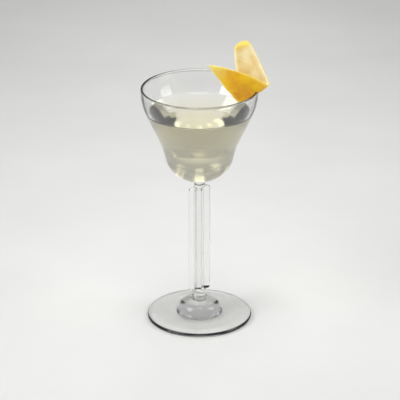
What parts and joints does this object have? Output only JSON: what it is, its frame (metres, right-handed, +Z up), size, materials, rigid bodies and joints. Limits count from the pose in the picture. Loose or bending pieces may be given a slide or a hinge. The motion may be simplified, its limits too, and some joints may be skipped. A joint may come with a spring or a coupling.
{
  "type": "martini cocktail",
  "caption": "Pale cocktail in a tapered bowl on a notched column stem and round foot, with a folded strip of lemon peel hooked over the rim.",
  "frame": {"origin": "middle of the foot's underside, on the glass's axis", "axes": "+Z up along the glass's axis, +X towards the side of the rim where the lemon peel hangs, -Y towards the side that shows the zest of its front wing"},
  "size_m": [0.0838, 0.0766, 0.1941],
  "materials": {
    "clear_glass": "clear pressed glass, polished",
    "drink": "clear pale straw liquid",
    "lemon_peel": "pored yellow zest outside, cream pith inside"
  },
  "bodies": {
    "root": {"glass": "clear_glass", "drink": "drink", "lemon_peel": "lemon_peel"}
  },
  "joints": []
}
